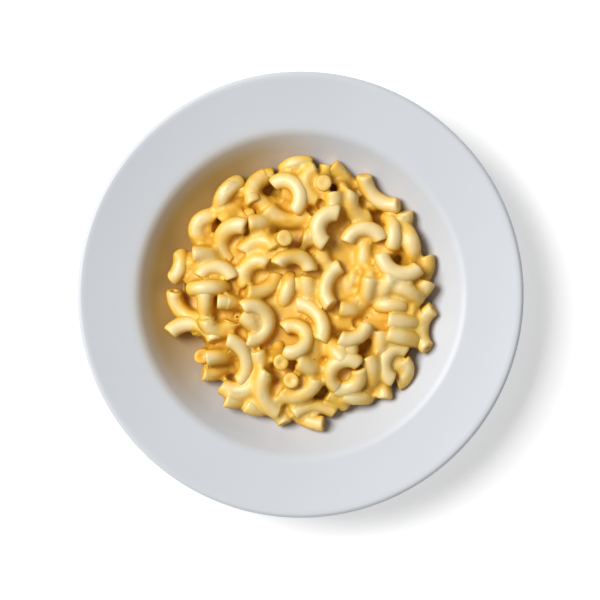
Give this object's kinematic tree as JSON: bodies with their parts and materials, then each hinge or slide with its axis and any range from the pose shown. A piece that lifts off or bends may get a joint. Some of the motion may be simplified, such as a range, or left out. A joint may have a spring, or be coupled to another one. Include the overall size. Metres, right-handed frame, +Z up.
{
  "type": "mac and cheese",
  "caption": "Macaroni in cheese sauce, heaped in the well of a wide-rimmed white porcelain pasta plate.",
  "frame": {"origin": "on the table, at the middle of the plate's foot ring", "axes": "+Z up through the middle of the plate; the picture's right is +X and its top is +Y"},
  "size_m": [0.23, 0.23, 0.0402],
  "materials": {
    "porcelain": "smooth white glaze, very slightly cool",
    "cheese_pasta": "golden yellow cooked pasta, wet with glossy cheese sauce"
  },
  "bodies": {
    "root": {"plate": "porcelain", "macaroni": "cheese_pasta"}
  },
  "joints": []
}
